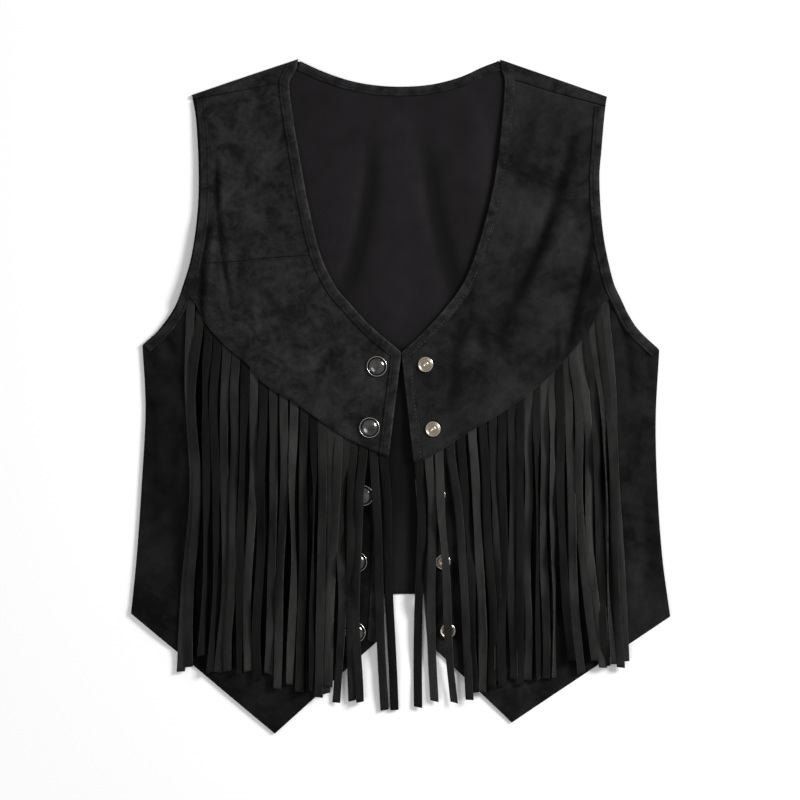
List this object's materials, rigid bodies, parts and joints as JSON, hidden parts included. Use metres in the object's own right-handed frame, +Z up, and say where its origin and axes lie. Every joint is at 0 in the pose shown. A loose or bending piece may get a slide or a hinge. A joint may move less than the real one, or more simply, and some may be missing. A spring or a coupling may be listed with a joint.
{
  "type": "fringe vest",
  "caption": "Sleeveless suede-look vest laid flat, with a curved front yoke, long hanging fringe, pointed front hems and a row of snaps down the open front.",
  "frame": {"origin": "middle of the vest's outline, on the surface it lies on", "axes": "+X across the vest to the wearer's left, +Y up to the shoulders, +Z up from the surface towards the fronts"},
  "size_m": [0.4538, 0.568, 0.0109],
  "materials": {
    "suede": "charcoal-black microsuede with a short mottled nap",
    "inner_cloth": "smooth purplish-black wrong side of the cloth",
    "gunmetal": "glossy black nickel, domed",
    "nickel": "antique nickel, slightly worn"
  },
  "bodies": {
    "root": {"back": "inner_cloth", "yoke_right_upper": "suede", "yoke_right_lower": "suede", "yoke_left": "suede", "front_right": "suede", "front_left": "suede", "back_neck_binding": "suede", "neck_binding_right": "suede", "neck_binding_left": "suede", "armhole_binding_right": "suede", "armhole_binding_left": "suede", "front_band_right": "suede", "front_band_left": "suede", "fringe_right": "suede", "fringe_left": "suede", "snap_cap_1": "gunmetal", "snap_cap_2": "gunmetal", "snap_cap_3": "gunmetal", "snap_cap_4": "gunmetal", "snap_cap_5": "gunmetal", "snap_stud_1": "nickel", "snap_stud_2": "nickel", "snap_stud_3": "nickel", "snap_stud_4": "nickel", "snap_stud_5": "nickel"}
  },
  "joints": []
}
